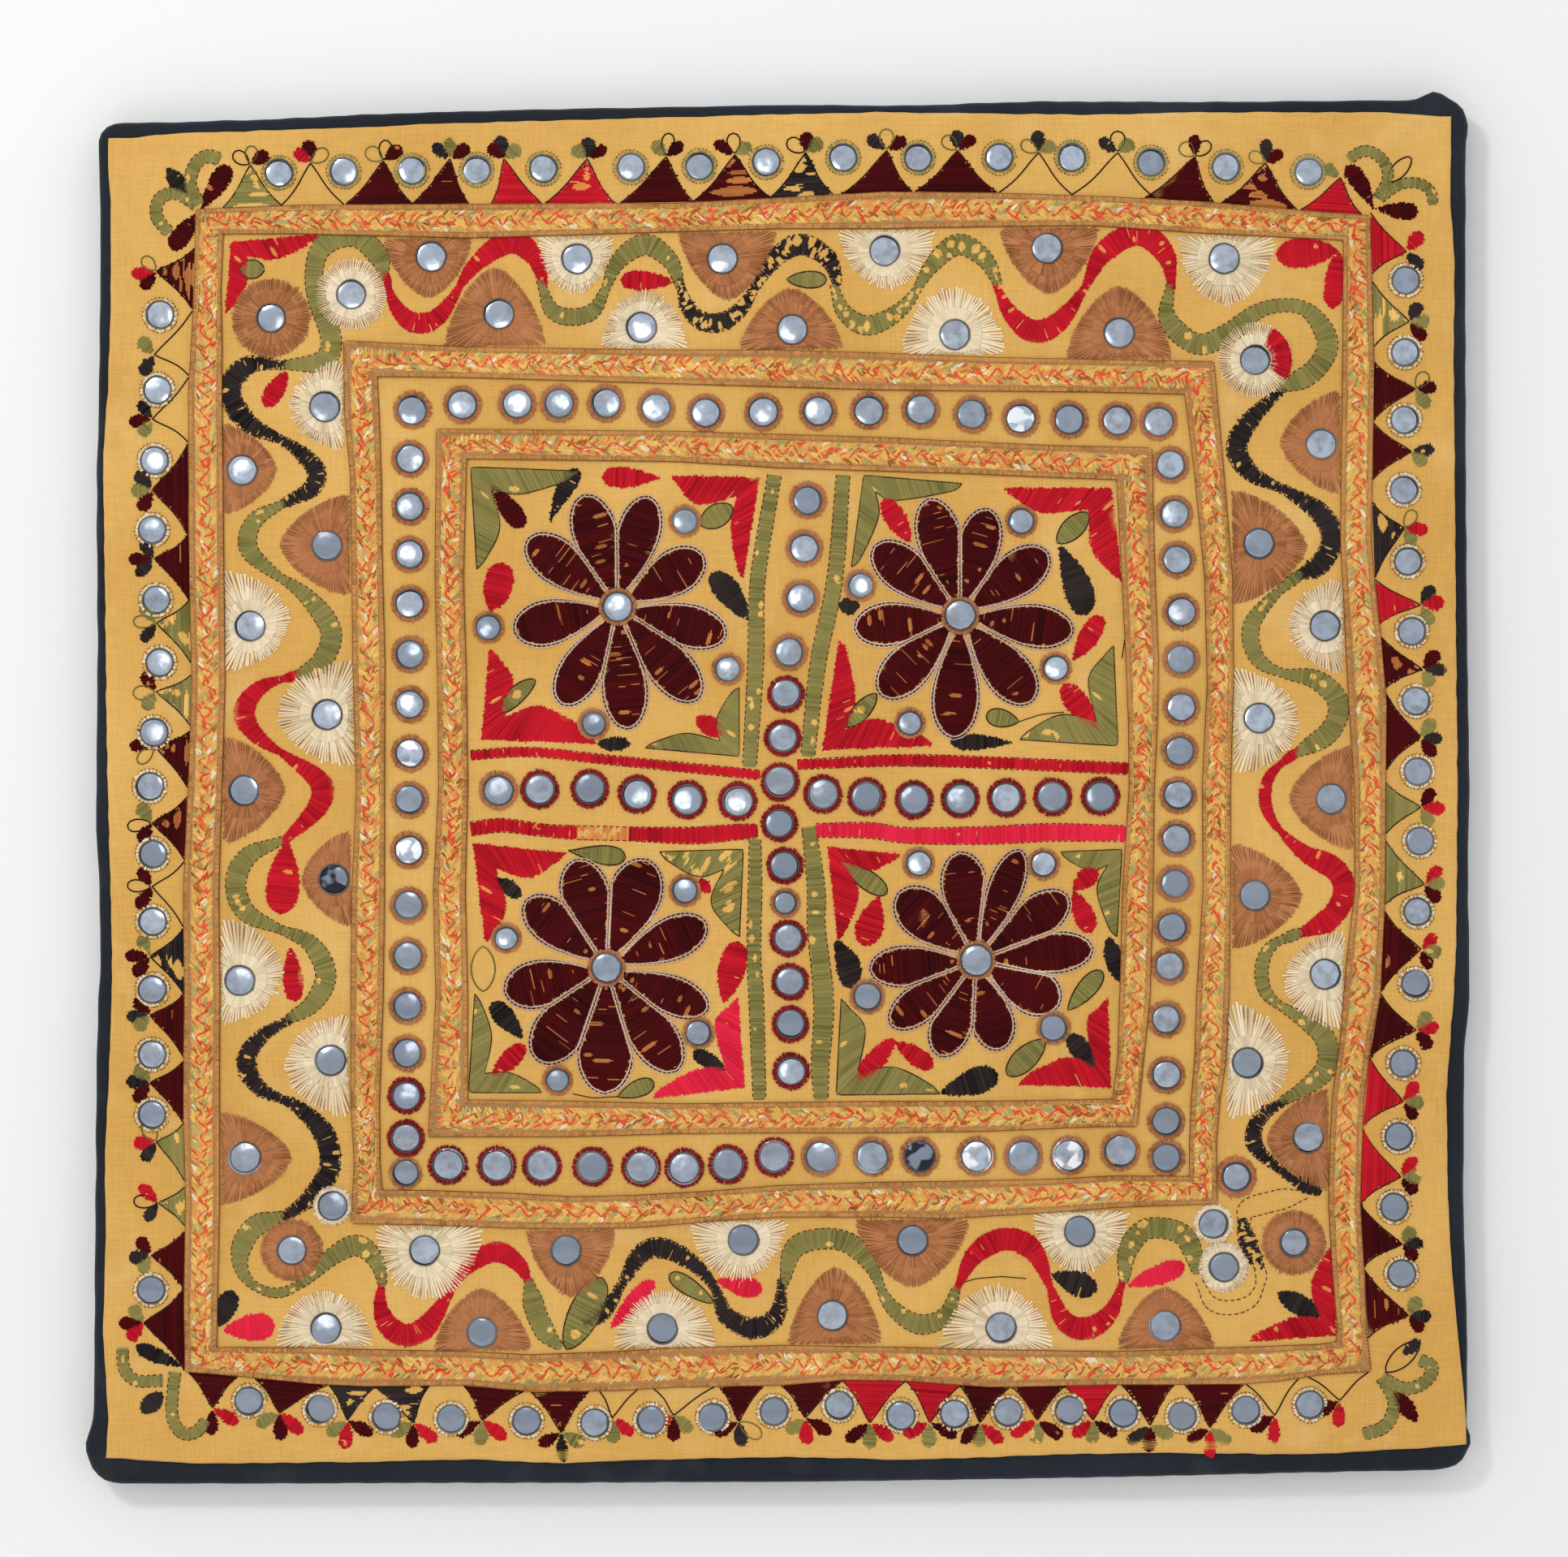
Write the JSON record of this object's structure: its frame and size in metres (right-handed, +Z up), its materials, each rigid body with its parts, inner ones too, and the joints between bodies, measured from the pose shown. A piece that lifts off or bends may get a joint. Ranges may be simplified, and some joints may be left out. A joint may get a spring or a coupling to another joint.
{
  "type": "embroidered mirror-work wall hanging on a cloth-covered stretcher frame",
  "caption": "Square textile wall hanging: yellow embroidered cotton with small round mirrors and raised braid, on a dark cloth stretched over a wooden frame.",
  "frame": {"origin": "middle of the top edge, in the wall plane at the back, where the frame hangs", "axes": "+X to the viewer's right along the width, +Y into the wall, +Z up; the embroidered face looks along -Y"},
  "size_m": [0.6681, 0.023, 0.6699],
  "materials": {
    "pine": "bare, planed",
    "dark_cotton": "matt plain weave",
    "yellow_cotton": "matt plain weave with satin stitch",
    "woven_braid": "ribbed, slightly shiny thread",
    "embroidery_thread": "soft sheen floss",
    "small_mirror": "old hand-cut mirror glass"
  },
  "bodies": {
    "root": {"bar_top": "pine", "bar_right": "pine", "bar_bottom": "pine", "bar_left": "pine", "ground_cloth": "dark_cotton", "embroidered_panel": "yellow_cotton", "braid_outer_left": "woven_braid", "braid_outer_top": "woven_braid", "braid_outer_right": "woven_braid", "braid_outer_bottom": "woven_braid", "braid_middle_left": "woven_braid", "braid_middle_top": "woven_braid", "braid_middle_right": "woven_braid", "braid_middle_bottom": "woven_braid", "braid_inner_left": "woven_braid", "braid_inner_top": "woven_braid", "braid_inner_right": "woven_braid", "braid_inner_bottom": "woven_braid"}
  },
  "joints": []
}
